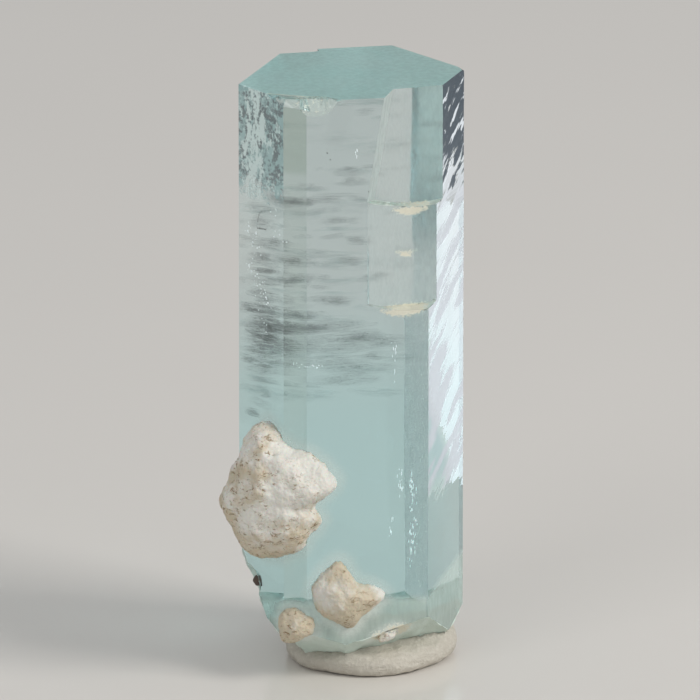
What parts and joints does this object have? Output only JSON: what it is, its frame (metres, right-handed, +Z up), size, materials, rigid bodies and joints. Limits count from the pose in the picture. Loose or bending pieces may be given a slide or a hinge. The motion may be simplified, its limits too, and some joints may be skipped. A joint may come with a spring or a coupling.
{
  "type": "aquamarine crystal specimen",
  "caption": "Upright six-sided pale blue crystal with a flat top and a broken foot, with white matrix lumps low on its front, held on a round putty pad.",
  "frame": {"origin": "on the surface that the pad rests on, under the middle of the whole object's box", "axes": "+Z up along the crystal; -Y towards the broad front face; +X to the right as seen from the front"},
  "size_m": [0.0244, 0.0234, 0.0605],
  "materials": {
    "beryl": "clear pale blue stone, glossy natural faces, broken and frosted at the foot",
    "feldspar": "sugary off-white, stained tan",
    "mica": "dark brown, satin",
    "putty": "matte cream putty with finger creases"
  },
  "bodies": {
    "root": {"crystal": "beryl", "feldspar_large": "feldspar", "feldspar_small": "feldspar", "feldspar_foot": "feldspar", "feldspar_sliver": "feldspar", "mica_grain": "mica", "putty_pad": "putty"}
  },
  "joints": []
}
